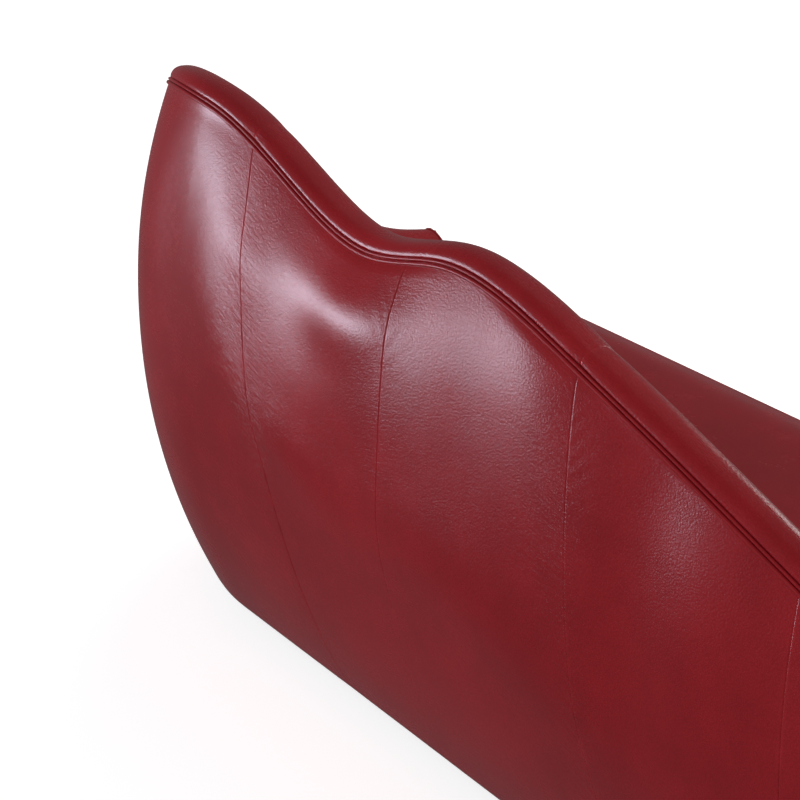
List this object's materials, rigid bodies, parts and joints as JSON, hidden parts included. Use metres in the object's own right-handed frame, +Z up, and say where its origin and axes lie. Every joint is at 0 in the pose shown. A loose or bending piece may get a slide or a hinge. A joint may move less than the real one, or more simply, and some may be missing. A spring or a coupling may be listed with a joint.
{
  "type": "sofa",
  "caption": "Leather sofa with a wave-topped back that wraps round a high head end and a low foot end, on low hidden feet.",
  "frame": {"origin": "on the floor under the middle of the whole sofa", "axes": "+Z up, +X along the sofa to its high head end, +Y to the back"},
  "size_m": [1.864, 0.7251, 0.8406],
  "materials": {
    "oxblood_leather": "glossy",
    "welt_leather": "glossy",
    "beech": "matte",
    "dark_beech": "satin",
    "jute_webbing": "matte",
    "hessian": "matte",
    "calico": "matte",
    "stuffing": "matte",
    "dust_cloth": "matte",
    "steel": "satin",
    "glide_plastic": "matte"
  },
  "bodies": {
    "root": {"back_foot_end_leg": "dark_beech", "back_head_end_leg": "dark_beech", "back_middle_leg": "dark_beech", "corner_blocks": "beech", "crest_rail_back": "beech", "crest_rail_foot_arm": "beech", "crest_rail_foot_corner": "beech", "crest_rail_head_arm": "beech", "crest_rail_head_corner": "beech", "dust_cover": "dust_cloth", "foot_arm_facing": "oxblood_leather", "foot_bolts": "steel", "front_border": "oxblood_leather", "front_foot_end_leg": "dark_beech", "front_head_end_leg": "dark_beech", "front_middle_leg": "dark_beech", "glides": "glide_plastic", "head_arm_facing": "oxblood_leather", "inner_welt": "welt_leather", "inside_back_pad": "oxblood_leather", "inside_foot_arm_pad": "oxblood_leather", "inside_foot_corner_pad": "oxblood_leather", "inside_head_arm_pad": "oxblood_leather", "inside_head_corner_pad": "oxblood_leather", "lower_rail_back": "beech", "lower_rail_foot": "beech", "lower_rail_head": "beech", "outer_welt_lower": "welt_leather", "outer_welt_upper": "welt_leather", "outside_back_panel_1": "oxblood_leather", "outside_back_panel_2": "oxblood_leather", "outside_back_panel_3": "oxblood_leather", "outside_foot_panel": "oxblood_leather", "outside_head_panel": "oxblood_leather", "pocketed_springs": "calico", "rail_screws": "steel", "seat_corner_foot": "beech", "seat_corner_head": "beech", "seat_pad": "oxblood_leather", "seat_rail_back": "beech", "seat_rail_foot": "beech", "seat_rail_front": "beech", "seat_rail_head": "beech", "seat_stuffing": "stuffing", "seat_welt": "welt_leather", "spring_hessian": "hessian", "top_strip_back": "oxblood_leather", "top_strip_foot": "oxblood_leather", "top_strip_head": "oxblood_leather", "upright_1": "beech", "upright_2": "beech", "upright_3": "beech", "upright_4": "beech", "upright_5": "beech", "upright_6": "beech", "upright_7": "beech", "upright_8": "beech", "webbing_end_to_end": "jute_webbing", "webbing_front_to_back": "jute_webbing"}
  },
  "joints": []
}
